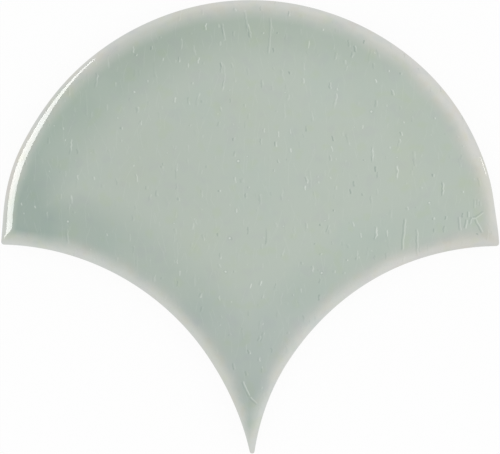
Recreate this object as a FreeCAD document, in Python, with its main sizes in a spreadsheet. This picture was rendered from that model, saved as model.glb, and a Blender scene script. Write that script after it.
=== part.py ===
# Fish scale tile: one pressed and glazed ceramic wall tile, in millimetres.
# It lies face up on its back ribs, with +Y towards the round crown and -Y towards the tip.
# The origin is the centre of the crown's arc, on the plane of the rib faces.

import FreeCAD, Part
import math
import os

import Sketcher

NODE = "fish_scale_tile"

# Driving dimensions: alias, millimetres, meaning.
SIZES = [
    ("crown_radius", 60.0, "radius of the round crown"),
    ("joint_width", 1.0, "grout joint that the outline leaves between two tiles"),
    ("tile_thickness", 8.0, "from the rib faces to the flat of the glazed face"),
    ("corner_radius", 0.8, "round of the two side corners, in plan"),
    ("tip_radius", 0.6, "round of the narrow lower tip, in plan"),
    ("edge_radius", 6.5, "radius of the soft round along the glazed face's edge"),
    ("edge_drop", 2.2, "how far that round has fallen where it meets the side wall"),
    ("arris_radius", 0.8, "small round between the soft edge and the side wall"),
    ("back_chamfer", 0.4, "chamfer along the back's edge"),
    ("rib_height", 0.8, "height of the keying ribs on the back"),
    ("rib_pitch", 8.0, "from one rib to the next"),
    ("rib_width", 4.0, "width of a rib"),
    ("rib_margin", 7.0, "bare border between the ribs' ends and the outline"),
]

# Sizes and counts that follow from the ones above, as spreadsheet formulas.
DERIVED = [
    ("nest_radius", "=crown_radius + joint_width", "radius of the two hollow sides"),
    ("half_pitch", "=crown_radius + joint_width / 2", "sideways step to the next row's tile"),
    ("row_pitch", "=crown_radius", "step down to the next row's tile"),
    ("edge_width", "=sqrt(2 * edge_radius * edge_drop - edge_drop ^ 2)", "width of the soft edge"),
    ("rib_field_top", "=crown_radius - rib_margin", "from the origin up to the ribs' end"),
    ("rib_field_tip", "=row_pitch - sqrt((nest_radius + rib_margin) ^ 2 - half_pitch ^ 2)",
     "from the origin down to the ribs' end"),
    ("channels_above", "=ceil(rib_field_top / rib_pitch)", "channels between ribs above the origin"),
    ("channels_below", "=ceil(rib_field_tip / rib_pitch)", "channels between ribs below the origin"),
]

# The names of a sketch curve's own points, and of the sketch's origin and upright axis.
START, END, CENTRE = 1, 2, 3
ORIGIN = (-1, 1)
UPRIGHT = -2

# Two lengths closer than this are the same length.
NEAR = 1e-4


def make_sheet(doc):
    """The spreadsheet that holds every size, each in a cell with an alias."""
    sheet = doc.addObject("Spreadsheet::Sheet", "Sizes")
    for row, (alias, content, meaning) in enumerate(SIZES + DERIVED, start=1):
        sheet.set(f"A{row}", meaning)
        sheet.set(f"B{row}", str(content))
        sheet.setAlias(f"B{row}", alias)
    doc.recompute()
    return sheet


def origin_feature(body, role):
    """One of the body's own origin planes or axes, such as XY_Plane."""
    return next(f for f in body.Origin.OriginFeatures if f.Role == role)


def new_sketch(body, name, plane, offsets):
    """A sketch on an origin plane, moved along the plane's own x, y and z by expressions."""
    sketch = body.newObject("Sketcher::SketchObject", name)
    sketch.AttachmentSupport = (origin_feature(body, plane), [""])
    sketch.MapMode = "FlatFace"
    for axis, expression in offsets.items():
        sketch.setExpression(f"AttachmentOffset.Base.{axis}", expression)
    return sketch


def constrain(sketch, kind, *where):
    """A constraint without a size."""
    sketch.addConstraint(Sketcher.Constraint(kind, *where))


def dimension(sketch, name, expression, value, kind, *where):
    """A named size of a sketch, bound to the spreadsheet."""
    index = sketch.addConstraint(Sketcher.Constraint(kind, *where, value))
    sketch.renameConstraint(index, name)
    sketch.setExpression(f"Constraints.{name}", expression)


def line(start, end):
    """A straight piece of a sketch."""
    return Part.LineSegment(FreeCAD.Vector(*start, 0), FreeCAD.Vector(*end, 0))


def arc(centre, radius, start, end):
    """A round piece of a sketch, anticlockwise from the direction of one point to that of another."""
    angles = [math.atan2(y - centre[1], x - centre[0]) for x, y in (start, end)]
    circle = Part.Circle(FreeCAD.Vector(*centre, 0), FreeCAD.Vector(0, 0, 1), radius)
    return Part.ArcOfCircle(circle, *angles)


def crossing(first, second, centre):
    """Where a circle about the origin crosses one about another centre, on the upper right."""
    apart = math.hypot(*centre)
    along = (first ** 2 - second ** 2 + apart ** 2) / (2 * apart)
    across = math.sqrt(first ** 2 - along ** 2)
    x, y = (c / apart for c in centre)
    return along * x - across * y, along * y + across * x


def towards(centre, point, distance):
    """The point at a distance from a centre, in the direction of another point."""
    span = math.dist(centre, point)
    return tuple(c + (p - c) * distance / span for c, p in zip(centre, point))


def flip(point):
    """A point's mirror image in the tile's upright middle plane."""
    return -point[0], point[1]


def scale_outline(body, sheet, name, inset_alias, offsets):
    """The fish scale's outline: a round crown over two hollow sides, each fitting the crown of a neighbour.

    With the alias of an inset, the outline lies that far inside the tile's own."""
    inset = getattr(sheet, inset_alias) if inset_alias else 0
    crown = sheet.crown_radius - inset
    nest = sheet.nest_radius + inset
    side = sheet.half_pitch
    down = sheet.row_pitch
    corner = sheet.corner_radius
    tip = sheet.tip_radius
    nest_centre = (side, -down)
    corner_centre = crossing(crown - corner, nest + corner, nest_centre)
    tip_centre = (0, math.sqrt((nest + tip) ** 2 - side ** 2) - down)
    crown_end = towards((0, 0), corner_centre, crown)
    nest_top = towards(nest_centre, corner_centre, nest)
    nest_foot = towards(nest_centre, tip_centre, nest)

    sketch = new_sketch(body, name, "XY_Plane", offsets)
    crown_arc = sketch.addGeometry(arc((0, 0), crown, crown_end, flip(crown_end)))
    left_corner = sketch.addGeometry(arc(flip(corner_centre), corner, flip(crown_end), flip(nest_top)))
    left_nest = sketch.addGeometry(arc(flip(nest_centre), nest, flip(nest_foot), flip(nest_top)))
    tip_arc = sketch.addGeometry(arc(tip_centre, tip, flip(nest_foot), nest_foot))
    right_nest = sketch.addGeometry(arc(nest_centre, nest, nest_top, nest_foot))
    right_corner = sketch.addGeometry(arc(corner_centre, corner, nest_top, crown_end))

    constrain(sketch, "Tangent", crown_arc, END, left_corner, START)
    constrain(sketch, "Tangent", left_corner, END, left_nest, END)
    constrain(sketch, "Tangent", left_nest, START, tip_arc, START)
    constrain(sketch, "Tangent", tip_arc, END, right_nest, END)
    constrain(sketch, "Tangent", right_nest, START, right_corner, START)
    constrain(sketch, "Tangent", right_corner, END, crown_arc, START)
    constrain(sketch, "Coincident", crown_arc, CENTRE, *ORIGIN)
    constrain(sketch, "Symmetric", left_nest, CENTRE, right_nest, CENTRE, UPRIGHT)
    constrain(sketch, "Equal", left_nest, right_nest)
    constrain(sketch, "Equal", left_corner, right_corner)

    inwards = f" - Sizes.{inset_alias}" if inset_alias else ""
    outwards = f" + Sizes.{inset_alias}" if inset_alias else ""
    dimension(sketch, "crown", f"Sizes.crown_radius{inwards}", crown, "Radius", crown_arc)
    dimension(sketch, "nest", f"Sizes.nest_radius{outwards}", nest, "Radius", left_nest)
    dimension(sketch, "corner", "Sizes.corner_radius", corner, "Radius", left_corner)
    dimension(sketch, "tip", "Sizes.tip_radius", tip, "Radius", tip_arc)
    dimension(sketch, "side", "Sizes.half_pitch", side, "DistanceX", left_nest, CENTRE, *ORIGIN)
    dimension(sketch, "down", "Sizes.row_pitch", down, "DistanceY", left_nest, CENTRE, *ORIGIN)
    return sketch


def pad(body, name, sketch, length):
    """The sketch raised into a solid by an expression's length."""
    feature = body.newObject("PartDesign::Pad", name)
    feature.Profile = sketch
    feature.setExpression("Length", length)
    return feature


def chamfer_back(body, sheet, base):
    """The chamfer all along the back's edge."""
    def on_back(edge):
        box = edge.BoundBox
        return box.ZLength < NEAR and abs(box.ZMin - sheet.rib_height) < NEAR

    names = [f"Edge{i}" for i, edge in enumerate(base.Shape.Edges, start=1) if on_back(edge)]
    chamfer = body.newObject("PartDesign::Chamfer", "back_edge")
    chamfer.Base = (base, names)
    chamfer.setExpression("Size", "Sizes.back_chamfer")
    body.Document.recompute()
    return chamfer


def channel_sketch(body, sheet):
    """The lowest channel between two ribs: a rectangle that runs past both sides of the rib field."""
    lowest = "-(Sizes.channels_below - 0.5) * Sizes.rib_pitch"
    sketch = new_sketch(body, "channel", "XY_Plane", {"y": lowest})
    x = sheet.crown_radius
    y = (sheet.rib_pitch - sheet.rib_width) / 2
    corners = [(-x, -y), (x, -y), (x, y), (-x, y)]
    sides = [sketch.addGeometry(line(corners[i], corners[(i + 1) % 4])) for i in range(4)]
    for i, way in enumerate(["Horizontal", "Vertical", "Horizontal", "Vertical"]):
        constrain(sketch, "Coincident", sides[i], END, sides[(i + 1) % 4], START)
        constrain(sketch, way, sides[i])
    constrain(sketch, "Symmetric", sides[0], START, sides[1], END, *ORIGIN)
    dimension(sketch, "length", "2 * Sizes.crown_radius", 2 * x,
              "DistanceX", sides[0], START, sides[0], END)
    dimension(sketch, "width", "Sizes.rib_pitch - Sizes.rib_width", 2 * y,
              "DistanceY", sides[1], START, sides[1], END)
    return sketch


def key_back(body, sheet):
    """The keying ribs: a raised field on the back, cut through by channels at a steady pitch."""
    field = pad(body, "rib_field", scale_outline(body, sheet, "rib_outline", "rib_margin", {}),
                "Sizes.rib_height")
    body.Document.recompute()

    channel = body.newObject("PartDesign::Pocket", "lowest_channel")
    channel.Profile = channel_sketch(body, sheet)
    channel.setExpression("Length", "Sizes.rib_height")
    channel.Reversed = True
    body.Document.recompute()

    channels = body.newObject("PartDesign::LinearPattern", "channels")
    channels.Originals = [channel]
    channels.Direction = (origin_feature(body, "Y_Axis"), [""])
    channels.setExpression("Occurrences", "Sizes.channels_below + Sizes.channels_above")
    channels.setExpression("Length", "(Sizes.channels_below + Sizes.channels_above - 1) * Sizes.rib_pitch")
    body.Tip = channels
    body.Document.recompute()
    return field, channels


def edge_profile(body, sheet, name, radius_alias, outwards, offsets):
    """What is taken off along one side of the face, drawn on a plane through that side's own axis.

    A soft round leaves the face without a crease, and a small arris round ends upright on the side wall.
    The profile runs as far past the wall as it reaches in. outwards is 1 where the tile lies inside the
    side's circle and -1 where it lies outside."""
    wall = getattr(sheet, radius_alias)
    top = sheet.tile_thickness
    soft = sheet.edge_radius
    arris = sheet.arris_radius
    width = sheet.edge_width
    soft_x = wall - outwards * width
    arris_x = wall - outwards * arris
    arris_z = top - soft + math.sqrt((soft - arris) ** 2 - (width - arris) ** 2)
    soft_centre = (soft_x, top - soft)
    arris_centre = (arris_x, arris_z)
    reach = soft / (soft - arris)
    meeting = (soft_x + reach * (arris_x - soft_x), top - soft + reach * (arris_z - top + soft))
    crest = (soft_x, top)
    foot = (wall, arris_z)
    outside = wall + outwards * width
    above = top + sheet.edge_drop

    sketch = new_sketch(body, name, "XZ_Plane", offsets)
    turn = (START, END) if outwards > 0 else (END, START)
    ends = ((meeting, crest), (foot, meeting)) if outwards > 0 else ((crest, meeting), (meeting, foot))
    soft_arc = sketch.addGeometry(arc(soft_centre, soft, *ends[0]))
    arris_arc = sketch.addGeometry(arc(arris_centre, arris, *ends[1]))
    floor = sketch.addGeometry(line(foot, (outside, arris_z)))
    far = sketch.addGeometry(line((outside, arris_z), (outside, above)))
    roof = sketch.addGeometry(line((outside, above), (soft_x, above)))
    near = sketch.addGeometry(line((soft_x, above), crest))

    constrain(sketch, "Tangent", soft_arc, turn[0], arris_arc, turn[1])
    constrain(sketch, "Coincident", arris_arc, turn[0], floor, START)
    constrain(sketch, "Coincident", floor, END, far, START)
    constrain(sketch, "Coincident", far, END, roof, START)
    constrain(sketch, "Coincident", roof, END, near, START)
    constrain(sketch, "Coincident", near, END, soft_arc, turn[1])
    constrain(sketch, "Horizontal", floor)
    constrain(sketch, "Vertical", far)
    constrain(sketch, "Horizontal", roof)
    constrain(sketch, "Vertical", near)
    constrain(sketch, "Horizontal", arris_arc, CENTRE, floor, START)
    constrain(sketch, "Vertical", soft_arc, CENTRE, near, END)

    sign = "+" if outwards > 0 else "-"
    back = "-" if outwards > 0 else "+"
    dimension(sketch, "soft", "Sizes.edge_radius", soft, "Radius", soft_arc)
    dimension(sketch, "arris", "Sizes.arris_radius", arris, "Radius", arris_arc)
    dimension(sketch, "wall", f"Sizes.{radius_alias}", wall, "DistanceX", *ORIGIN, floor, START)
    dimension(sketch, "crest", f"Sizes.{radius_alias} {back} Sizes.edge_width", soft_x,
              "DistanceX", *ORIGIN, near, END)
    dimension(sketch, "outside", f"Sizes.{radius_alias} {sign} Sizes.edge_width", outside,
              "DistanceX", *ORIGIN, far, START)
    dimension(sketch, "top", "Sizes.tile_thickness", top, "DistanceY", *ORIGIN, near, END)
    dimension(sketch, "above", "Sizes.tile_thickness + Sizes.edge_drop", above,
              "DistanceY", *ORIGIN, near, START)
    return sketch


def turned_edge(body, name, sketch):
    """The edge profile swept round its side's axis and taken off the tile."""
    groove = body.newObject("PartDesign::Groove", name)
    groove.Profile = sketch
    groove.ReferenceAxis = (sketch, ["V_Axis"])
    groove.Angle = 360
    body.Document.recompute()
    return groove


def soften_face(body, sheet):
    """The soft edge of the face, turned about the axis of each of the three sides.

    The three rounds meet in mitred ridges at the corners and in one ridge that falls to the tip."""
    crown = edge_profile(body, sheet, "crown_edge_profile", "crown_radius", 1, {})
    crown_edge = turned_edge(body, "crown_edge", crown)
    at_nest = {"x": "-Sizes.half_pitch", "z": "Sizes.row_pitch"}
    left = edge_profile(body, sheet, "left_edge_profile", "nest_radius", -1, at_nest)
    left_edge = turned_edge(body, "left_edge", left)

    right_edge = body.newObject("PartDesign::Mirrored", "right_edge")
    right_edge.Originals = [left_edge]
    right_edge.MirrorPlane = (origin_feature(body, "YZ_Plane"), [""])
    body.Tip = right_edge
    body.Document.recompute()
    return crown_edge, left_edge, right_edge


def check(doc, body):
    """Stops the build if a feature has failed, a sketch is loose or the tile isn't one valid solid."""
    broken = [o.Name for o in doc.Objects if {"Invalid", "Error"} & set(o.State)]
    if broken:
        raise RuntimeError(f"features in error: {broken}")
    loose = [o.Name for o in doc.findObjects("Sketcher::SketchObject") if not o.FullyConstrained]
    if loose:
        raise RuntimeError(f"sketches with a free size: {loose}")
    shape = body.Shape
    if shape.isNull() or not shape.isValid() or len(shape.Solids) != 1:
        raise RuntimeError("the tile isn't one valid solid")


def falling_volumes(features):
    """Stops the build if a cut has taken nothing off the feature before it."""
    volumes = [f.Shape.Volume for f in features]
    if any(after >= before for before, after in zip(volumes, volumes[1:])):
        raise RuntimeError(f"a cut took nothing away: {volumes}")


def main():
    """Builds the tile and writes it as one solid."""
    doc = FreeCAD.newDocument(NODE)
    sheet = make_sheet(doc)
    body = doc.addObject("PartDesign::Body", NODE)
    body.Label = NODE

    outline = scale_outline(body, sheet, "outline", None, {"z": "Sizes.rib_height"})
    blank = pad(body, "blank", outline, "Sizes.tile_thickness - Sizes.rib_height")
    doc.recompute()
    chamfered = chamfer_back(body, sheet, blank)
    keyed = key_back(body, sheet)
    softened = soften_face(body, sheet)

    check(doc, body)
    falling_volumes([blank, chamfered])
    falling_volumes([*keyed, *softened])
    os.makedirs("parts", exist_ok=True)
    body.Shape.exportStep(f"parts/{body.Label}.step")


main()
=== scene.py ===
"""A crackle-glazed fish scale tile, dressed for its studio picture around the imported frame."""
import math

import bpy
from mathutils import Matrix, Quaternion, Vector, geometry, noise


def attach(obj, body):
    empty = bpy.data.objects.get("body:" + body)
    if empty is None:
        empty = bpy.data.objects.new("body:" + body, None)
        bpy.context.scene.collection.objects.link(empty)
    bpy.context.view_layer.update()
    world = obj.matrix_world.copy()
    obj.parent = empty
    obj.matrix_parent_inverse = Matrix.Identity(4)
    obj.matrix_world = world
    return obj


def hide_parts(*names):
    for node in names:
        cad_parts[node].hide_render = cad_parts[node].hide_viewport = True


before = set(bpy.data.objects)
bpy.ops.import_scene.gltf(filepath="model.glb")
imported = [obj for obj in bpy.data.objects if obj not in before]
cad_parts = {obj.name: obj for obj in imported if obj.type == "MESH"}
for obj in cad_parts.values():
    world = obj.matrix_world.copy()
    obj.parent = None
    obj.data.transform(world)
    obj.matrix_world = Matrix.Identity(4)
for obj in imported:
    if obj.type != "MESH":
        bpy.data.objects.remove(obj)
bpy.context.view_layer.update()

# One millimetre in metres
MM = 0.001

# Sizes of the tile in millimetres, as in the part's source
CROWN_RADIUS = 60.0
JOINT_WIDTH = 1.0
THICKNESS = 8.0
CORNER_RADIUS = 0.8
TIP_RADIUS = 0.6
BACK_CHAMFER = 0.4
RIB_HEIGHT = 0.8
RIB_PITCH = 8.0
RIB_WIDTH = 4.0
RIB_MARGIN = 7.0

# How many ribs lie above and below the one through the origin
RIBS_ABOVE = 6
RIBS_BELOW = 3

# Slope of the glazed edge in degrees at insets in millimetres, from the arris in to the flat face
EDGE_SLOPES = (
    (0.24, 44.3),
    (0.7, 42.65),
    (1.2, 41.0),
    (2.45, 38.9),
    (2.8, 22.0),
    (3.3, 10.5),
    (4.8, 0.0),
)

# Sizes that follow from those
NEST_RADIUS = CROWN_RADIUS + JOINT_WIDTH
HALF_PITCH = CROWN_RADIUS + JOINT_WIDTH / 2
EDGE_WIDTH = EDGE_SLOPES[-1][0]

# The face's middle, equally far from the crown and from both nests, and how far
CROWN_AND_NEST = CROWN_RADIUS + NEST_RADIUS
MIDDLE_Y = (CROWN_AND_NEST**2 - HALF_PITCH**2 - CROWN_RADIUS**2) / (2 * (CROWN_AND_NEST + CROWN_RADIUS))
MIDDLE_INSET = CROWN_RADIUS - MIDDLE_Y

# Steps of the mesh along half the outline, over the edge and the face, and along a rib's end
TIP_STEPS = 6
NEST_STEPS = 108
CORNER_STEPS = 9
CROWN_STEPS = 124
ARRIS_STEPS = 6
SOFT_STEPS = 42
FACE_STEPS = 34
RIB_END_STEPS = 6

# How much closer together the rings lie towards the wall, where 1 is evenly spaced
EDGE_CROWDING = 1.4
FACE_CROWDING = 1.25

# Growth of the ridges' rounding with the inset, and its limit as a share of the way left to the middle
RIDGE_SOFTENING = 0.22
ROUNDING_LIMIT = 0.5

# Rings down a rib's side: millimetres by which each is drawn in, and its share of the rib's height
RIB_RINGS = ((0.10, 0.22), (0.17, 0.06), (0.30, 0.0))

# Faces that meet at more than this angle keep a sharp edge
SHARP_ANGLE = math.radians(32)

# How far a fired and glazed surface strays from the drawn one, and where, in millimetres
OUTLINE_SHRINK = 0.10
OUTLINE_WARP = 0.02
WARP_LENGTH = 16.0
TIP_LEAN = 0.7
LEAN_START = -28.0
LEAN_REACH = 21.0
FACE_WAVE = 0.045
FACE_WAVE_LENGTH = 17.0
FACE_WAVE_START = 1.0
GLAZE_COAT = 0.13
GLAZE_LIP = 0.25
GLAZE_LINE = 3.0
GLAZE_LINE_WAVE = 0.8
GLAZE_LINE_LENGTH = 7.0
GLAZE_RUN = 2.2
GLAZE_RUN_LENGTH = 4.2

# How sharply the tip's lean grows, and the level of the noise above which the glaze runs down
LEAN_POWER = 1.3
RUN_LEVEL = 0.15

# Places that the firing has moved out of the drawn shape: middle, reach and movement in millimetres
PUSHES = (
    ((46, 37), 22, (0.28, 0.23)),
    ((-57, 20), 9, (-0.38, 0.13)),
    ((-59, 5), 5, (0.28, 0.00)),
    ((-26, 54), 16, (0.07, -0.14)),
    ((59, 9), 6, (-0.35, -0.05)),
    ((33, -7), 18, (-0.12, 0.21)),
)


# Outline of the tile

def arc(centre, radius, start, end, steps):
    """Points of an arc between two angles, without its last point."""
    angles = [start + (end - start) * i / steps for i in range(steps)]
    return [(centre[0] + radius * math.cos(a), centre[1] + radius * math.sin(a)) for a in angles]


def rounding(radius, inset):
    """Radius of a corner's rounding at an inset: the drawn one, softer further in."""
    return min(radius + RIDGE_SOFTENING * inset, ROUNDING_LIMIT * (MIDDLE_INSET - inset))


def corner_centre(inset, radius):
    """Centre of the round between the crown and the right nest arc."""
    to_crown = CROWN_RADIUS - inset - radius
    to_nest = NEST_RADIUS + inset + radius
    span = math.hypot(HALF_PITCH, CROWN_RADIUS)
    along = (to_crown**2 - to_nest**2 + span**2) / (2 * span)
    across = math.sqrt(to_crown**2 - along**2)
    ux, uy = HALF_PITCH / span, -CROWN_RADIUS / span
    return ux * along - uy * across, uy * along + ux * across


def outline(inset):
    """Closed outline of the tile at an inset, anticlockwise from the lowest point of the tip."""
    corner_round = rounding(CORNER_RADIUS, inset)
    tip_round = rounding(TIP_RADIUS, inset)
    nest = NEST_RADIUS + inset
    cx, cy = corner_centre(inset, corner_round)
    tip_y = math.sqrt((nest + tip_round) ** 2 - HALF_PITCH**2) - CROWN_RADIUS
    tip_slope = math.atan2(tip_y + CROWN_RADIUS, HALF_PITCH)
    corner_slope = math.atan2(cy + CROWN_RADIUS, cx - HALF_PITCH)
    crown_start = math.atan2(cy, cx)
    half = arc((0, tip_y), tip_round, -math.pi / 2, -tip_slope, TIP_STEPS)
    half += arc((HALF_PITCH, -CROWN_RADIUS), nest, math.pi - tip_slope, corner_slope, NEST_STEPS)
    half += arc((cx, cy), corner_round, corner_slope - math.pi, crown_start, CORNER_STEPS)
    half += arc((0, 0), CROWN_RADIUS - inset, crown_start, math.pi / 2, CROWN_STEPS)
    top = [(0.0, CROWN_RADIUS - inset)]
    return half + top + [(-x, y) for x, y in reversed(half[1:])]


# Levels of the tile, from the back up to the face

def wall_levels(top):
    """Inset, height and share of the glaze line's wave of the rings up the bare and the glazed wall."""
    return [
        (BACK_CHAMFER + GLAZE_COAT, RIB_HEIGHT, 0.0),
        (GLAZE_COAT, RIB_HEIGHT + BACK_CHAMFER, 0.0),
        (GLAZE_COAT, 0.5 * (RIB_HEIGHT + GLAZE_LINE), 0.5),
        (GLAZE_COAT, GLAZE_LINE, 1.0),
        (0.3 * GLAZE_COAT, GLAZE_LINE + 0.2 * GLAZE_LIP, 1.0),
        (0.0, GLAZE_LINE + GLAZE_LIP, 1.0),
        (0.0, 0.6 * top + 0.4 * GLAZE_LINE, 0.4),
    ]


# How many of those rings are bare clay
BARE_LEVELS = 4


def slope_at(inset):
    """Slope of the glazed edge at an inset, in radians."""
    for (near, steep), (far, gentle) in zip(EDGE_SLOPES, EDGE_SLOPES[1:]):
        if inset <= far:
            share = (inset - near) / (far - near)
            return math.radians(steep + (gentle - steep) * share)
    return 0.0


def edge_levels():
    """Inset and height of the rings over the soft edge and the arris, from the face out to the wall."""
    start, steepest = EDGE_SLOPES[0]
    end = EDGE_SLOPES[-1][0]
    shares = [(i / SOFT_STEPS) ** EDGE_CROWDING for i in range(SOFT_STEPS, -1, -1)]
    insets = [start + (end - start) * share for share in shares]
    height = THICKNESS
    levels = [(end, height)]
    for inner, outer in zip(insets, insets[1:]):
        height -= (inner - outer) * math.tan(slope_at((inner + outer) / 2))
        levels.append((outer, height))
    turn = math.radians(steepest)
    radius = start / (1 - math.sin(turn))
    for i in range(1, ARRIS_STEPS + 1):
        a = turn + (math.pi / 2 - turn) * i / ARRIS_STEPS
        levels.append((radius * (1 - math.sin(a)), height - radius * (math.cos(turn) - math.cos(a))))
    return levels


def face_levels():
    """Inset and height of the rings over the flat face, closer together near the edge."""
    reach = MIDDLE_INSET - EDGE_WIDTH
    shares = [(i / (FACE_STEPS + 1)) ** FACE_CROWDING for i in range(1, FACE_STEPS + 1)]
    return [(EDGE_WIDTH + reach * share, THICKNESS) for share in shares]


# Small irregularities

def wave(x, y, length, seed):
    """Smooth noise from -1 to 1 with a given wavelength in millimetres."""
    return noise.noise(Vector((x / length, y / length, seed)))


def warped(x, y):
    """A point of the plane, drawn in a little and moved by the firing's slight warp."""
    shrink = 1 - OUTLINE_SHRINK / CROWN_RADIUS
    x, y = x * shrink, y * shrink
    dx = OUTLINE_WARP * wave(x, y, WARP_LENGTH, seed=3.1)
    dy = OUTLINE_WARP * wave(x, y, WARP_LENGTH, seed=8.7)
    dx += TIP_LEAN * (max(0.0, LEAN_START - y) / LEAN_REACH) ** LEAN_POWER
    for (px, py), reach, (move_x, move_y) in PUSHES:
        share = math.exp(-((x - px) ** 2 + (y - py) ** 2) / reach**2)
        dx += share * move_x
        dy += share * move_y
    return x + dx, y + dy


def sunk(x, y, inset):
    """How far the glaze's surface lies under the drawn face."""
    share = min(1.0, max(0.0, (inset - FACE_WAVE_START) / EDGE_WIDTH))
    return FACE_WAVE * share * (0.5 + 0.5 * wave(x, y, FACE_WAVE_LENGTH, seed=5.3))


def glaze_dip(x, y):
    """How far the glaze line runs up or down the wall."""
    broad = wave(x, y, GLAZE_LINE_LENGTH, seed=1.7)
    fine = wave(x, y, 0.3 * GLAZE_LINE_LENGTH, seed=4.9)
    run = max(0.0, wave(x, y, GLAZE_RUN_LENGTH, seed=6.1) - RUN_LEVEL)
    return GLAZE_LINE_WAVE * (0.8 * broad + 0.2 * fine) - GLAZE_RUN * run**2


# Mesh of the tile

class Shell:
    """Points in metres and faces of one mesh, each face with its material's number."""

    def __init__(self):
        self.points = []
        self.faces = []
        self.materials = []

    def point(self, x, y, z):
        x, y = warped(x, y)
        self.points.append((x * MM, y * MM, z * MM))
        return len(self.points) - 1

    def ring(self, points):
        """Adds a closed row of points and gives their numbers."""
        return [self.point(*p) for p in points]

    def face(self, corners, material):
        self.faces.append(corners)
        self.materials.append(material)

    def band(self, lower, upper, material):
        """Quads between two closed rings of as many points."""
        for i in range(len(lower)):
            j = (i + 1) % len(lower)
            self.face((lower[i], lower[j], upper[j], upper[i]), material)

    def fan(self, ring, tip, material):
        """Triangles from a closed ring to one point."""
        for i in range(len(ring)):
            self.face((ring[i], ring[(i + 1) % len(ring)], tip), material)


# Numbers of the tile's two materials
GLAZE, CLAY = 0, 1


def build_wall(shell):
    """Rings from the back's chamfer up towards the arris, bare clay below the glaze line."""
    rings = []
    wall_top = edge_levels()[-1][1]
    for inset, height, share in wall_levels(wall_top):
        rings.append(shell.ring((x, y, height + share * glaze_dip(x, y)) for x, y in outline(inset)))
    for i in range(len(rings) - 1):
        shell.band(rings[i], rings[i + 1], CLAY if i + 1 < BARE_LEVELS else GLAZE)
    return rings[0], rings[-1]


def build_face(shell, ring):
    """Rings over the arris, the soft edge and the face, closed at the tile's middle."""
    for inset, height in list(reversed(edge_levels())) + face_levels():
        above = shell.ring((x, y, height - sunk(x, y, inset)) for x, y in outline(inset))
        shell.band(ring, above, GLAZE)
        ring = above
    middle = shell.point(0, MIDDLE_Y, THICKNESS - sunk(0, MIDDLE_Y, MIDDLE_INSET))
    shell.fan(ring, middle, GLAZE)


# Keyed back

# How the back's sheet is triangulated: inside its border only, with points this near made one
INSIDE_ONLY = 1
MERGE_DISTANCE = 1e-6


def field_half_width(y):
    """Half the width of the ribbed field at a height of the tile."""
    crown = math.sqrt((CROWN_RADIUS - RIB_MARGIN) ** 2 - y**2)
    reach = (NEST_RADIUS + RIB_MARGIN) ** 2 - (y + CROWN_RADIUS) ** 2
    nest = HALF_PITCH - math.sqrt(reach) if reach > 0 else crown
    return min(crown, nest)


def rib_outline(middle, shrink):
    """Closed outline of one rib, drawn in all round by a small amount."""
    low = middle - RIB_WIDTH / 2 + shrink
    high = middle + RIB_WIDTH / 2 - shrink
    heights = [low + (high - low) * i / RIB_END_STEPS for i in range(RIB_END_STEPS + 1)]
    right = [(field_half_width(y) - shrink, y) for y in heights]
    return right + [(-x, y) for x, y in reversed(right)]


def build_rib(shell, foot, middle):
    """A rib's drafted sides, rounded arris and flat, down from its foot on the back."""
    ring = foot
    for shrink, share in RIB_RINGS:
        below = shell.ring((x, y, share * RIB_HEIGHT) for x, y in rib_outline(middle, shrink))
        shell.band(below, ring, CLAY)
        ring = below
    shell.face(tuple(reversed(ring)), CLAY)


def build_back(shell, border):
    """The land between the ribs as one triangulated sheet, and the ribs on it."""
    rims = [border]
    middles = [i * RIB_PITCH for i in range(-RIBS_BELOW, RIBS_ABOVE + 1)]
    for middle in middles:
        rims.append(shell.ring((x, y, RIB_HEIGHT) for x, y in rib_outline(middle, 0.0)))
    used = [i for rim in rims for i in rim]
    flat = [Vector(shell.points[i][:2]) / MM for i in used]
    place = {i: n for n, i in enumerate(used)}
    loops = [[place[i] for i in rim] for rim in rims]
    sheet = geometry.delaunay_2d_cdt(flat, [], loops, INSIDE_ONLY, MERGE_DISTANCE)
    _, _, triangles, _, _, owners = sheet
    for corners, owner in zip(triangles, owners):
        # A triangle that the border alone owns lies outside every rib
        if owner == [0]:
            shell.face(tuple(used[i] for i in reversed(corners)), CLAY)
    for rim, middle in zip(rims[1:], middles):
        build_rib(shell, rim, middle)


def tile_object(materials):
    """The whole tile as one closed mesh."""
    shell = Shell()
    border, arris = build_wall(shell)
    build_face(shell, arris)
    build_back(shell, border)
    mesh = bpy.data.meshes.new("crackle_tile")
    mesh.from_pydata(shell.points, [], shell.faces)
    for material in materials:
        mesh.materials.append(material)
    mesh.polygons.foreach_set("material_index", shell.materials)
    mesh.polygons.foreach_set("use_smooth", [True] * len(shell.faces))
    mesh.set_sharp_from_angle(angle=SHARP_ANGLE)
    tile = bpy.data.objects.new("crackle_tile", mesh)
    bpy.context.scene.collection.objects.link(tile)
    return tile


# Materials

def linear(red, green, blue):
    """Scene colour of a display colour given from 0 to 255."""
    def one(value):
        share = value / 255
        return share / 12.92 if share <= 0.04045 else ((share + 0.055) / 1.055) ** 2.4
    return one(red), one(green), one(blue), 1.0


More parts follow.
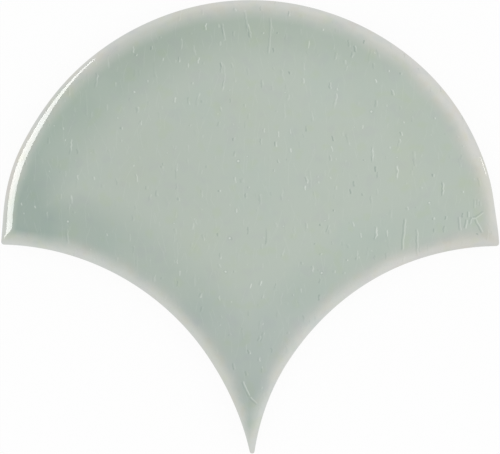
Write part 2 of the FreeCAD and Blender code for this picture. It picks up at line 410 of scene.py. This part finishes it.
class Shader:
    """Node tree of a material or the world, with a short call for each kind of node in it."""

    def __init__(self, tree):
        self.tree = tree
        tree.nodes.clear()

    def node(self, kind, inputs, **settings):
        made = self.tree.nodes.new(kind)
        for name, value in settings.items():
            setattr(made, name, value)
        for name, value in inputs.items():
            self.feed(made.inputs[name], value)
        return made

    def feed(self, socket, value):
        if isinstance(value, bpy.types.NodeSocket):
            self.tree.links.new(value, socket)
        else:
            socket.default_value = value

    def math(self, operation, *values):
        inputs = dict(enumerate(values))
        return self.node("ShaderNodeMath", inputs, operation=operation).outputs[0]

    def vector(self, operation, *values):
        inputs = dict(enumerate(values))
        return self.node("ShaderNodeVectorMath", inputs, operation=operation).outputs[0]

    def scaled(self, vector, by):
        made = self.node("ShaderNodeVectorMath", {0: vector, "Scale": by}, operation="SCALE")
        return made.outputs[0]

    def dot(self, first, second):
        made = self.node("ShaderNodeVectorMath", {0: first, 1: second}, operation="DOT_PRODUCT")
        return made.outputs["Value"]

    def length(self, x, y):
        flat = self.node("ShaderNodeCombineXYZ", {0: x, 1: y}).outputs[0]
        return self.node("ShaderNodeVectorMath", {0: flat}, operation="LENGTH").outputs["Value"]

    def step(self, value, low, high, start=0.0, end=1.0):
        """Smooth step of a value from one level to another."""
        inputs = {0: value, 1: low, 2: high, 3: start, 4: end}
        return self.node("ShaderNodeMapRange", inputs, interpolation_type="SMOOTHSTEP").outputs[0]

    def mix(self, factor, first, second, blend="MIX"):
        inputs = {0: factor, 6: first, 7: second}
        return self.node("ShaderNodeMix", inputs, data_type="RGBA", blend_type=blend).outputs[2]

    def ramp(self, value, stops):
        made = self.node("ShaderNodeValToRGB", {0: value})
        elements = made.color_ramp.elements
        for place, colour in stops[1:-1]:
            elements.new(place).color = colour
        elements[0].position, elements[0].color = stops[0]
        elements[-1].position, elements[-1].color = stops[-1]
        return made.outputs[0]

    def noise(self, coords, length, detail=2.0, roughness=0.5):
        """Noise with a given wavelength in the coordinates' unit, from 0 to 1."""
        inputs = {"Vector": coords, "Scale": 1 / length, "Detail": detail, "Roughness": roughness}
        return self.node("ShaderNodeTexNoise", inputs, noise_dimensions="3D")

    def bump(self, height, distance, strength=1.0, normal=None):
        inputs = {"Height": height, "Distance": distance, "Strength": strength}
        if normal:
            inputs["Normal"] = normal
        return self.node("ShaderNodeBump", inputs).outputs[0]

    def surface(self, shader):
        self.node("ShaderNodeOutputMaterial", {"Surface": shader})

    def principled(self, colour, roughness, ior, normal):
        inputs = {"Base Color": colour, "Roughness": roughness, "IOR": ior, "Normal": normal}
        self.surface(self.node("ShaderNodeBsdfPrincipled", inputs).outputs[0])


def new_material(name):
    material = bpy.data.materials.new(name)
    material.use_nodes = True
    return material, Shader(material.node_tree)


def millimetres(s):
    """Object coordinates in millimetres."""
    coords = s.node("ShaderNodeTexCoord", {}).outputs["Object"]
    return s.scaled(coords, 1 / MM)


# Crackle glaze, with places on the tile in millimetres, x to the right and y towards the crown

# Colours over the edge by the distance from the outline, and the distance that they cover
RIM_SPAN = 8.0
RIM_STOPS = (
    (0.0, (213, 213, 208)),
    (0.5, (214, 214, 209)),
    (1.3, (210, 211, 204)),
    (2.3, (199, 202, 194)),
    (3.5, (189, 196, 187)),
    (5.2, (184, 195, 184)),
    (8.0, (184, 195, 184)),
)

# Tints that multiply those colours: of the rim, the pooled glaze and the face's left side (both
# carrying painted shade), other parts of the face and its patches
COOL_RIM = linear(247, 251, 251)
RIGHT_RIM = linear(248, 248, 247)
THIN_RIM = linear(255, 250, 244)
RUN_RIM = linear(245, 250, 253)
# Tints of the pooled glaze, laid on more heavily towards the left, where the extra darkening is painted
# shade
POOL_AND_SHADE = linear(221, 230, 230)
UPPER_POOL_AND_SHADE = linear(219, 231, 227)
TOP_POOL_AND_SHADE = linear(224, 231, 227)
# Painted shade that darkens the face towards the left
LEFT_PAINTED_SHADE = linear(249, 249, 249)
TIP_TONE = linear(250, 250, 254)
TIP_END_TONE = linear(249, 249, 250)
BLUE_PATCH = linear(250, 254, 255)
YELLOW_PATCH = linear(255, 255, 247)
DARK_PATCH = linear(249, 250, 250)
PURPLE_PATCH = linear(253, 250, 255)
GREEN_PATCH = linear(253, 255, 245)

# Width over which the crown's and the nests' edges blend at the ridges
RIDGE_BLEND = 1.0


def edge_distance(s, x, y):
    """Distance inwards from the tile's outline, worked out from its arcs."""
    crown = s.math("SUBTRACT", CROWN_RADIUS, s.length(x, y))
    aside = s.math("SUBTRACT", s.math("ABSOLUTE", x), HALF_PITCH)
    nest = s.math("SUBTRACT", s.length(aside, s.math("ADD", y, CROWN_RADIUS)), NEST_RADIUS)
    return s.math("SMOOTH_MIN", crown, nest, RIDGE_BLEND)


def pool_and_shade_share(s, coords, x, y, inset):
    """How much the glaze has pooled in a band behind the edge, darker towards the left and most of all
    by the left corner, where the extra darkening is painted shade.
    """
    further = s.math("SUBTRACT", inset, s.step(y, 14.0, 30.0, 0.0, 1.0))
    band = s.math("MULTIPLY", s.step(further, 1.5, 4.5), s.step(further, 7.0, 18.0, 1.0, 0.0))
    # Painted shade: the pooled band is laid on more heavily towards the left
    lean = s.step(x, 60.0, -50.0, 0.10, 0.65)
    lean = s.math("MULTIPLY", lean, s.step(y, 3.0, 12.0, 0.88, 1.05))
    top = s.math("MULTIPLY", s.step(y, 38.0, 50.0, 0.0, 0.25), s.step(inset, 13.0, 6.0))
    lean = s.math("ADD", lean, top)
    tip_right = s.math("MULTIPLY", s.step(x, -2.0, 8.0), s.step(y, -8.0, -18.0))
    lean = s.math("MULTIPLY", lean, s.math("MULTIPLY_ADD", tip_right, -0.6, 1.0))
    corner = s.math("MULTIPLY", s.step(x, -42.0, -57.0, 0.0, 0.75), s.step(y, 28.0, 14.0))
    uneven = s.step(s.noise(coords, 19.0, 1.0).outputs[0], 0.3, 0.7, -0.25, 0.25)
    uneven = s.math("MULTIPLY_ADD", uneven, s.step(y, 36.0, 46.0, 1.0, 0.2), 0.9)
    return s.math("MULTIPLY", s.math("MULTIPLY", band, uneven), s.math("ADD", lean, corner))


def blotched(s, coords, colour, rim):
    """Small patches of the rim, pinker where the glaze is thinnest and bluer where it has run."""
    patch = s.noise(s.vector("ADD", coords, (5, 30, 0)), 3.6, 2.0).outputs[0]
    thin = s.math("MULTIPLY", rim, s.step(patch, 0.52, 0.68, 0.0, 0.5))
    run = s.math("MULTIPLY", rim, s.step(patch, 0.48, 0.32, 0.0, 0.5))
    colour = s.mix(thin, colour, THIN_RIM, "MULTIPLY")
    return s.mix(run, colour, RUN_RIM, "MULTIPLY")


def steepness(s, x, y, below):
    """How fast the glaze thickens inwards: faster at the tip and along the left side."""
    tip = s.math("MULTIPLY", s.step(y, -28.0, -38.0), s.step(y, -47.0, -42.0))
    corner = s.math("MULTIPLY", s.step(y, 21.0, 9.0), s.step(y, 3.0, 8.0))
    corner = s.math("MULTIPLY", corner, s.step(x, -46.0, -54.0))
    left = s.math("MULTIPLY", s.step(x, -36.0, -46.0), s.step(y, 14.0, 22.0))
    steeper = s.math("MULTIPLY_ADD", tip, s.step(x, -3.0, 3.0, 0.45, 0.7), 1.0)
    steeper = s.math("MULTIPLY_ADD", corner, 1.2, steeper)
    steeper = s.math("MULTIPLY_ADD", left, 0.4, steeper)
    return s.math("MULTIPLY_ADD", below, s.step(x, -38.0, -54.0, 0.0, 0.7), steeper)


def edge_colour(s, x, y, inset, below):
    """Colour of the glaze from the edge inwards, as it thickens."""
    thickness = s.math("ADD", inset, s.step(x, 20.0, 50.0, 0.0, -0.35))
    thickness = s.math("MULTIPLY", thickness, steepness(s, x, y, below))
    thickness = s.math("MULTIPLY_ADD", below, 0.4, thickness)
    above = s.math("MULTIPLY", s.step(x, -8.0, -24.0), s.step(y, 28.0, 42.0))
    thickness = s.math("MULTIPLY_ADD", above, 0.25, thickness)
    stops = [(place / RIM_SPAN, linear(*colour)) for place, colour in RIM_STOPS]
    return s.ramp(s.math("DIVIDE", thickness, RIM_SPAN), stops)


def tinted_rim(s, coords, x, y, inset, below, colour):
    """The rim, cooler in patches and below, duller by the right corner, and blotched."""
    hue = s.step(s.noise(coords, 22.0, 1.0).outputs[0], 0.35, 0.65, 0.0, 0.7)
    hue = s.math("MULTIPLY", hue, s.step(x, 20.0, 45.0, 1.0, 0.0))
    cool = s.math("MULTIPLY", s.step(inset, 4.5, 0.5), s.math("MAXIMUM", below, hue))
    colour = s.mix(cool, colour, COOL_RIM, "MULTIPLY")
    rim = s.step(inset, 5.5, 2.0)
    duller = s.math("MULTIPLY", s.step(x, 34.0, 48.0), s.step(y, 8.0, 2.0))
    colour = s.mix(s.math("MULTIPLY", rim, duller), colour, RIGHT_RIM, "MULTIPLY")
    return blotched(s, coords, colour, rim)


def toned_face(s, x, y, inset, colour):
    """The face, a little darker towards the left as painted shade, and bluer towards the tip."""
    inner = s.step(inset, 1.0, 4.0)
    # Painted shade: the face darkens towards the left
    left = s.math("MULTIPLY", inner, s.step(x, 25.0, -35.0))
    tip = s.math("MULTIPLY", inner, s.step(y, -3.0, -24.0))
    tip_end = s.math("MULTIPLY", inner, s.step(y, -26.0, -36.0))
    colour = s.mix(left, colour, LEFT_PAINTED_SHADE, "MULTIPLY")
    colour = s.mix(tip, colour, TIP_TONE, "MULTIPLY")
    return s.mix(tip_end, colour, TIP_END_TONE, "MULTIPLY")


def glaze_colour(s, coords):
    """Colour of the glaze by its thickness: pale over the edge, pooled beside it with painted shade
    towards the left, even on the face.
    """
    x, y, _ = s.node("ShaderNodeSeparateXYZ", {0: coords}).outputs
    drift = s.math("SUBTRACT", s.noise(coords, 9.0, 3.0).outputs[0], 0.5)
    inset = s.math("MULTIPLY_ADD", drift, s.step(x, 15.0, 45.0, 1.7, 2.8), edge_distance(s, x, y))
    below = s.math("MULTIPLY", s.step(y, 7.0, 0.0), s.step(x, 20.0, -15.0))
    colour = edge_colour(s, x, y, inset, below)
    colour = tinted_rim(s, coords, x, y, inset, below, colour)
    colour = toned_face(s, x, y, inset, colour)
    pool_and_shade = s.mix(s.step(y, 14.0, 30.0), POOL_AND_SHADE, UPPER_POOL_AND_SHADE)
    pool_and_shade = s.mix(s.step(y, 38.0, 46.0), pool_and_shade, TOP_POOL_AND_SHADE)
    return s.mix(pool_and_shade_share(s, coords, x, y, inset), colour, pool_and_shade, "MULTIPLY")


def mottled(s, coords, colour):
    """Broad soft patches, a little bluer, yellower, darker, purpler or greener than the rest."""
    hue = s.noise(coords, 13.0, 2.0).outputs[0]
    tone = s.noise(s.vector("ADD", coords, (40, 10, 0)), 6.0, 3.0).outputs[0]
    tint = s.noise(s.vector("ADD", coords, (15, 70, 0)), 4.2, 1.0).outputs[0]
    colour = s.mix(s.step(hue, 0.52, 0.75, 0.0, 0.5), colour, BLUE_PATCH, "MULTIPLY")
    colour = s.mix(s.step(hue, 0.48, 0.25, 0.0, 0.5), colour, YELLOW_PATCH, "MULTIPLY")
    colour = s.mix(s.step(tone, 0.55, 0.8, 0.0, 0.5), colour, DARK_PATCH, "MULTIPLY")
    colour = s.mix(s.step(tint, 0.56, 0.72, 0.0, 0.6), colour, PURPLE_PATCH, "MULTIPLY")
    return s.mix(s.step(tint, 0.42, 0.28, 0.0, 0.6), colour, GREEN_PATCH, "MULTIPLY")


# Crackle of the glaze, in millimetres, drawn as painted highlight and painted shadow

# Width and height of the cells between the faint cracks, and where a faint crack fades sideways
COARSE_CELLS = (4.4, 11.0)
FINE_CELLS = (2.5, 5.0)
FAINT_WIDTH = (0.12, 0.03)

# A clear crack's pale and dark hairlines, painted highlight and painted shadow: where each fades
# sideways, and how far apart they are
HIGHLIGHT_WIDTH = (0.20, 0.05)
SHADOW_WIDTH = (0.22, 0.05)
HAIRLINE_GAP = 0.44

# Two scatters of short cracks: size of the cells and greatest half length
LONG_STROKES = (5.2, 2.6)
SHORT_STROKES = (3.4, 1.1)

# Spreads of their turn, in radians, and of their bend
STROKE_TURN = 0.45
STROKE_BEND = 0.2

# Share of a long crack's half length that is not faded
LONG_CRACK_CLEAR = 0.8

# A pinhole's speck and the ring around it: where each fades, by the distance from the middle
SPECK_EDGE = (0.24, 0.10)
RING_INSIDE = (0.14, 0.22)
RING_OUTSIDE = (0.42, 0.26)
RING_SHARE = 0.4

# Size of the cells of the pinholes' scatter, and what the largest ones' distances are multiplied by
PINHOLE_CELLS = 9.0
LARGE_PINHOLE_SCALE = 0.7

# Colours of the marks and how much of each shows; on the cracks the pale colour is painted highlight
# and the dark one painted shadow, and the pinholes use the same two colours
PALE_LINE = linear(226, 232, 225)
DARK_LINE = linear(144, 160, 151)
PALE_SHARE = 0.46
DARK_SHARE = 0.58
FAINT_SHARE = 0.2


def cells(s, coords, feature):
    """Outputs of a flat scatter of cells, about one unit wide."""
    inputs = {"Vector": coords, "Scale": 1.0, "Randomness": 1.0}
    return s.node("ShaderNodeTexVoronoi", inputs, voronoi_dimensions="2D", feature=feature).outputs


def first(s, vector):
    """A colour's or vector's first number."""
    return s.node("ShaderNodeSeparateXYZ", {0: vector}).outputs[0]


def cracks(s, coords, width, height):
    """Cracks between stretched cells: true distance, uprightness and the cell's own number."""
    shape = (1 / width, 1 / height, 0)
    scaled = s.vector("MULTIPLY", coords, shape)
    near = cells(s, scaled, "F1")
    next_one = cells(s, scaled, "F2")
    border = cells(s, scaled, "DISTANCE_TO_EDGE")["Distance"]
    across = s.vector("NORMALIZE", s.vector("SUBTRACT", next_one["Position"], near["Position"]))
    across = s.vector("MULTIPLY", across, shape)
    reach = s.node("ShaderNodeVectorMath", {0: across}, operation="LENGTH").outputs["Value"]
    upright = s.math("DIVIDE", s.math("ABSOLUTE", first(s, across)), reach)
    return s.math("DIVIDE", border, reach), upright, near["Color"]


def network(s, coords, width, height):
    """Cracks of one generation, fading in and out along their length and shown most where upright, as
    painted highlight where the light from the left catches them, and their cells' numbers.
    """
    gap, upright, number = cracks(s, coords, width, height)
    fade = s.noise(s.vector("MULTIPLY", coords, (1.8, 1.0, 1.0)), 3.6, 1.0).outputs[0]
    seen = s.math("MULTIPLY", s.step(fade, 0.48, 0.62, 0.1, 1.0), s.step(upright, 0.6, 0.97, 0.1, 1.0))
    return s.math("MULTIPLY", s.step(gap, *FAINT_WIDTH), seen), number


def highlight_and_shadow_lines(s, across, within):
    """A pale hairline of painted highlight and a darker one of painted shadow beside it."""
    pale = s.step(s.math("ABSOLUTE", across), *HIGHLIGHT_WIDTH)
    dark = s.step(s.math("ABSOLUTE", s.math("ADD", across, HAIRLINE_GAP)), *SHADOW_WIDTH)
    return s.math("MULTIPLY", pale, within), s.math("MULTIPLY", dark, within)


def clearness(s, coords):
    """How clear the strokes are: in patches, and more so towards the coordinates' top and right."""
    x, y, _ = s.node("ShaderNodeSeparateXYZ", {0: coords}).outputs
    patchy = s.step(s.noise(coords, 8.0, 1.0).outputs[0], 0.38, 0.62, 0.2, 0.85)
    busy = s.math("MAXIMUM", s.step(y, 34.0, 46.0, 1.0, 1.65), s.step(x, 15.0, 35.0, 1.0, 1.5))
    return s.math("MULTIPLY", patchy, busy)


def strokes(s, coords, size, longest):
    """Short, nearly upright cracks, one in most cells of a scatter, each a painted highlight with
    painted shadow beside it, some paler and some darker.
    """
    scaled = s.scaled(coords, 1 / size)
    spot = cells(s, scaled, "F1")
    offset = s.scaled(s.vector("SUBTRACT", scaled, spot["Position"]), size)
    chance, lean, span = s.node("ShaderNodeSeparateXYZ", {0: spot["Color"]}).outputs
    turn = s.math("MULTIPLY", s.math("SUBTRACT", lean, 0.5), STROKE_TURN)
    inputs = {"Vector": offset, "Axis": (0.0, 0.0, 1.0), "Angle": turn}
    turned = s.node("ShaderNodeVectorRotate", inputs).outputs[0]
    across, along, _ = s.node("ShaderNodeSeparateXYZ", {0: turned}).outputs
    bend = s.math("MULTIPLY", s.math("SUBTRACT", chance, 0.65), STROKE_BEND)
    across = s.math("MULTIPLY_ADD", s.math("MULTIPLY", along, along), bend, across)
    reach = s.math("MULTIPLY_ADD", s.math("POWER", span, 2.0), 0.75 * longest, 0.25 * longest)
    ends = s.step(s.math("DIVIDE", s.math("ABSOLUTE", along), reach), 1.0, 0.6)
    within = s.math("MULTIPLY", ends, clearness(s, coords))
    within = s.math("MULTIPLY", within, s.step(chance, 0.3, 0.8))
    pale, dark = highlight_and_shadow_lines(s, across, within)
    balance = s.noise(coords, 3.5, 1.0).outputs[0]
    pale = s.math("MULTIPLY", pale, s.step(balance, 0.38, 0.55, 0.15, 1.0))
    dark = s.math("MULTIPLY", dark, s.step(balance, 0.60, 0.43, 0.15, 1.0))
    return pale, dark


def swayed(s, coords, length, amount):
    """Coordinates moved about by smooth noise."""
    sway = s.noise(coords, length, 1.0).outputs["Color"]
    return s.vector("ADD", coords, s.scaled(s.vector("SUBTRACT", sway, (0.5, 0.5, 0.5)), amount))


# Ends of the longest cracks and of the fan of them by the right corner, and how clear each is
LONG_CRACKS = (
    ((-1.0, 57.0), (-0.7, 52.0), 0.4),
    ((4.9, 56.0), (4.6, 46.5), 0.5),
    ((-6.9, 53.5), (-6.0, 50.0), 0.5),
    ((37.2, 8.0), (36.7, -0.4), 0.8),
    ((40.2, 5.4), (40.4, -1.4), 0.8),
    ((50.0, 8.4), (50.4, 4.6), 0.7),
    ((52.4, 9.5), (52.3, 8.1), 0.9),
    ((52.0, 7.7), (51.5, 5.2), 0.9),
    ((53.3, 8.1), (52.7, 6.4), 0.8),
    ((54.4, 7.8), (53.2, 7.8), 0.7),
    ((54.1, 7.8), (55.8, 4.4), 0.8),
    ((56.3, 9.2), (54.0, 7.8), 0.7),
    ((54.1, 12.1), (53.9, 10.2), 0.4),
    ((54.8, 12.3), (54.7, 11.0), 0.4),
    ((-1.4, -31.4), (0.3, -35.2), 0.9),
    ((0.3, -35.2), (2.0, -36.9), 0.9),
)


def long_cracks(s, coords):
    """The long cracks' pale and dark lines: painted highlight and painted shadow."""
    lines = []
    for (x0, y0), (x1, y1), clear in LONG_CRACKS:
        half = math.hypot(x1 - x0, y1 - y0) / 2
        along = ((x1 - x0) / (2 * half), (y1 - y0) / (2 * half), 0)
        offset = s.vector("SUBTRACT", coords, ((x0 + x1) / 2, (y0 + y1) / 2, 0))
        distance = s.math("ABSOLUTE", s.dot(offset, along))
        within = s.step(distance, half, LONG_CRACK_CLEAR * half, 0.0, clear)
        lines.append(highlight_and_shadow_lines(s, s.dot(offset, (-along[1], along[0], 0)), within))
    return lines


# Middles of the largest pinholes
LARGE_PINHOLES = (
    (-43.4, 6.6),
    (-2.9, 21.2),
    (-5.0, 2.8),
    (-6.0, -5.4),
    (17.3, -5.6),
    (29.1, 33.0),
    (42.7, 11.2),
)


def pinhole(s, gap, chosen):
    """A pale speck and the darker ring around it, by the distance from its middle."""
    ring = s.math("MULTIPLY", s.step(gap, *RING_INSIDE, 0.0, RING_SHARE), s.step(gap, *RING_OUTSIDE))
    return s.math("MULTIPLY", s.step(gap, *SPECK_EDGE), chosen), s.math("MULTIPLY", ring, chosen)


def pinholes(s, coords):
    """Places where bubbles have broken through: in some cells of a scatter, and the largest ones."""
    spot = cells(s, s.scaled(coords, 1 / PINHOLE_CELLS), "F1")
    chosen = s.step(first(s, spot["Color"]), 0.5, 0.9, 0.0, 0.6)
    marks = [pinhole(s, s.math("MULTIPLY", spot["Distance"], PINHOLE_CELLS), chosen)]
    for x, y in LARGE_PINHOLES:
        offset = s.vector("SUBTRACT", s.vector("MULTIPLY", coords, (1, 1, 0)), (x, y, 0))
        gap = s.node("ShaderNodeVectorMath", {0: offset}, operation="LENGTH").outputs["Value"]
        marks.append(pinhole(s, s.math("MULTIPLY", gap, LARGE_PINHOLE_SCALE), 1.0))
    return marks


def strongest(s, marks):
    """The strongest of several marks at each point."""
    total = marks[0]
    for mark in marks[1:]:
        total = s.math("MAXIMUM", total, mark)
    return total


def crackled(s, coords, colour):
    """The glaze's crackle: a faint network, short and long clear cracks, and pinholes, the cracks drawn
    as painted highlight and painted shadow.
    """
    x, y, _ = s.node("ShaderNodeSeparateXYZ", {0: coords}).outputs
    thick = s.step(edge_distance(s, x, y), 1.0, 4.5, 0.35, 1.0)
    coords = swayed(s, swayed(s, coords, 9.0, 1.2), 1.6, 0.4)
    coarse, number = network(s, coords, *COARSE_CELLS)
    fine, _ = network(s, s.vector("ADD", coords, s.scaled(number, 90.0)), *FINE_CELLS)
    faint = s.math("MULTIPLY", strongest(s, [coarse, fine]), FAINT_SHARE)
    ragged = swayed(s, coords, 0.8, 0.4)
    elsewhere = s.vector("ADD", ragged, (37, 11, 0))
    pairs = [strokes(s, ragged, *LONG_STROKES), strokes(s, elsewhere, *SHORT_STROKES)]
    pairs += long_cracks(s, coords) + pinholes(s, coords)
    # Pale marks: painted highlight along the cracks, with the pinholes' specks; dark marks: painted
    # shadow beside the cracks, with the pinholes' rings
    line = s.math("MULTIPLY", thick, strongest(s, [faint] + [pale for pale, dark in pairs]))
    shade = s.math("MULTIPLY", thick, strongest(s, [dark for pale, dark in pairs]))
    colour = s.mix(s.math("MULTIPLY", shade, DARK_SHARE), colour, DARK_LINE)
    return s.mix(s.math("MULTIPLY", line, PALE_SHARE), colour, PALE_LINE), line


# The glaze's gloss, and the length and depths of its bumps
GLAZE_ROUGHNESS = 0.03
GLAZE_IOR = 1.6
PEEL_LENGTH = 2.2
PEEL_DEPTH = 0.003 * MM
LINE_DEPTH = 0.002 * MM
LINE_STRENGTH = 0.5


def glaze_material():
    """Crackle glaze, glossy and very slightly uneven."""
    material, s = new_material("crackle_glaze")
    coords = millimetres(s)
    colour = mottled(s, coords, glaze_colour(s, coords))
    colour, line = crackled(s, coords, colour)
    normal = s.bump(s.noise(coords, PEEL_LENGTH, 1.0).outputs[0], PEEL_DEPTH)
    normal = s.bump(line, LINE_DEPTH, LINE_STRENGTH, normal)
    s.principled(colour, GLAZE_ROUGHNESS, GLAZE_IOR, normal)
    return material


# Bare fired clay

# Colours of the body, its grain, its iron specks and its pits
DARK_CLAY = linear(214, 203, 184)
LIGHT_CLAY = linear(228, 219, 203)
GRAIN = linear(178, 160, 136)
IRON = linear(146, 108, 76)
PIT = linear(182, 166, 144)

# The clay's dullness and the depths of its bumps
CLAY_ROUGHNESS = 0.85
CLAY_IOR = 1.45
GRAIN_DEPTH = 0.12 * MM
PIT_DEPTH = 0.1 * MM
PIT_STRENGTH = 0.6


def scattered(s, coords, size, radius, share):
    """Round specks in a share of the cells of a scatter."""
    inputs = {"Vector": coords, "Scale": 1 / size, "Randomness": 1.0}
    spot = s.node("ShaderNodeTexVoronoi", inputs, voronoi_dimensions="3D").outputs
    near = s.step(s.math("MULTIPLY", spot["Distance"], size), radius, 0.5 * radius)
    return s.math("MULTIPLY", near, s.math("LESS_THAN", first(s, spot["Color"]), share))


def clay_material():
    """Bare clay, grainy, with iron specks and small pits."""
    material, s = new_material("fired_clay")
    coords = millimetres(s)
    broad = s.noise(coords, 14.0, 3.0).outputs[0]
    grain = s.noise(coords, 0.5, 3.0, 0.7).outputs[0]
    iron = scattered(s, coords, size=1.9, radius=0.16, share=0.22)
    pits = scattered(s, s.vector("ADD", coords, (9, 21, 33)), size=1.3, radius=0.22, share=0.3)
    colour = s.mix(broad, DARK_CLAY, LIGHT_CLAY)
    colour = s.mix(s.step(grain, 0.58, 0.75, 0.0, 0.35), colour, GRAIN)
    colour = s.mix(s.math("MULTIPLY", iron, 0.7), colour, IRON)
    colour = s.mix(s.math("MULTIPLY", pits, 0.5), colour, PIT)
    normal = s.bump(grain, GRAIN_DEPTH)
    normal = s.bump(s.math("SUBTRACT", 1.0, pits), PIT_DEPTH, PIT_STRENGTH, normal)
    s.principled(colour, CLAY_ROUGHNESS, CLAY_IOR, normal)
    return material


# Floor, light and camera

def backdrop_share(s):
    """1 on the rays that see the backdrop itself, 0 on those that light the tile."""
    path = s.node("ShaderNodeLightPath", {}).outputs
    seen = s.math("MAXIMUM", path["Is Camera Ray"], path["Is Glossy Ray"])
    return s.math("MAXIMUM", seen, path["Is Transmission Ray"])


# Side of the floor and its depth below the tile, in metres, its colour, and how white it shows
FLOOR_SIDE = 6.0
FLOOR_DROP = 0.05 * MM
FLOOR_COLOUR = (0.92, 0.92, 0.92, 1)
FLOOR_GLOW = 0.93

# Colour of the backdrop's glow and of the world's light
WHITE = (1, 1, 1, 1)


def make_floor():
    """A pale floor that shows white and keeps a faint shadow."""
    material, s = new_material("pale_floor")
    diffuse = s.node("ShaderNodeBsdfDiffuse", {"Color": FLOOR_COLOUR}).outputs[0]
    glow = s.node("ShaderNodeEmission", {"Color": WHITE, "Strength": 1.0}).outputs[0]
    share = s.math("MULTIPLY", backdrop_share(s), FLOOR_GLOW)
    s.surface(s.node("ShaderNodeMixShader", {0: share, 1: diffuse, 2: glow}).outputs[0])
    half = FLOOR_SIDE / 2
    corners = [(-half, -half, 0), (half, -half, 0), (half, half, 0), (-half, half, 0)]
    mesh = bpy.data.meshes.new("floor")
    mesh.from_pydata(corners, [], [(0, 1, 2, 3)])
    mesh.materials.append(material)
    floor = bpy.data.objects.new("floor", mesh)
    floor.location = (0, 0, -FLOOR_DROP)
    bpy.context.scene.collection.objects.link(floor)
    return floor


# Strength of the even light from all round
WORLD_LIGHT = 0.90


def make_world():
    """Even light from all round, with a white backdrop."""
    world = bpy.data.worlds.new("studio")
    world.use_nodes = True
    bpy.context.scene.world = world
    s = Shader(world.node_tree)
    share = backdrop_share(s)
    strength = s.math("MULTIPLY_ADD", share, 1.0 - WORLD_LIGHT, WORLD_LIGHT)
    light = s.node("ShaderNodeBackground", {"Color": WHITE, "Strength": strength}).outputs[0]
    s.node("ShaderNodeOutputWorld", {"Surface": light})


def panel(name, place, towards, width, height, radiance, roll=0.0):
    """A flat soft light that stands at a place, faces along a direction and is rolled about it."""
    data = bpy.data.lights.new(name, "AREA")
    data.shape = "RECTANGLE"
    data.size = width
    data.size_y = height
    data.energy = math.pi * radiance * width * height
    lamp = bpy.data.objects.new(name, data)
    lamp.location = place
    facing = Vector(towards).to_track_quat("-Z", "Y")
    lamp.rotation_euler = (facing @ Quaternion((0, 0, 1), roll)).to_euler()
    lamp.visible_camera = False
    bpy.context.scene.collection.objects.link(lamp)
    return lamp


def make_lights():
    """Panels for the gleams on the left and the right edge, and a soft fill over the right."""
    left = panel(
        "left_panel",
        place=(-1.662, 1.559, 0.166),
        towards=(0.873, 0.488, 0),
        width=3.512,
        height=0.127,
        radiance=6.0,
        roll=math.radians(-1.6),
    )
    right = panel(
        "right_panel",
        place=(1.415, 0.473, 0.015),
        towards=(-1.415, -0.473, 0),
        width=0.13,
        height=0.026,
        radiance=5.0,
    )
    fill = panel(
        "right_fill",
        place=(0.8, -0.1, 0.8),
        towards=(-0.8, 0.1, -0.8),
        width=0.7,
        height=0.7,
        radiance=0.4,
    )
    left.visible_diffuse = False
    right.visible_diffuse = False
    fill.visible_glossy = False


# Lens and sensor in millimetres
LENS = 300.0
SENSOR = 36.0

# Width and middle of what the picture shows at the height of the rim, in metres
FRAME_WIDTH = 119.9 * MM
FRAME_CENTRE_Y = 5.42 * MM
RIM_HEIGHT = 5.5 * MM

# How far the camera is turned about its own line of sight
TURN = math.radians(0.18)


def make_camera():
    """A long lens straight above the tile, framed as the picture is."""
    data = bpy.data.cameras.new("camera")
    data.lens = LENS
    data.sensor_width = SENSOR
    data.sensor_fit = "HORIZONTAL"
    camera = bpy.data.objects.new("camera", data)
    camera.location = (0, FRAME_CENTRE_Y, RIM_HEIGHT + FRAME_WIDTH * LENS / SENSOR)
    camera.rotation_euler = (0, 0, TURN)
    bpy.context.scene.collection.objects.link(camera)
    bpy.context.scene.camera = camera


# The scene

tile = tile_object([glaze_material(), clay_material()])
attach(tile, "root")
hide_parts("fish_scale_tile")
make_floor()
make_world()
make_lights()
make_camera()
bpy.context.scene.view_settings.view_transform = "Standard"
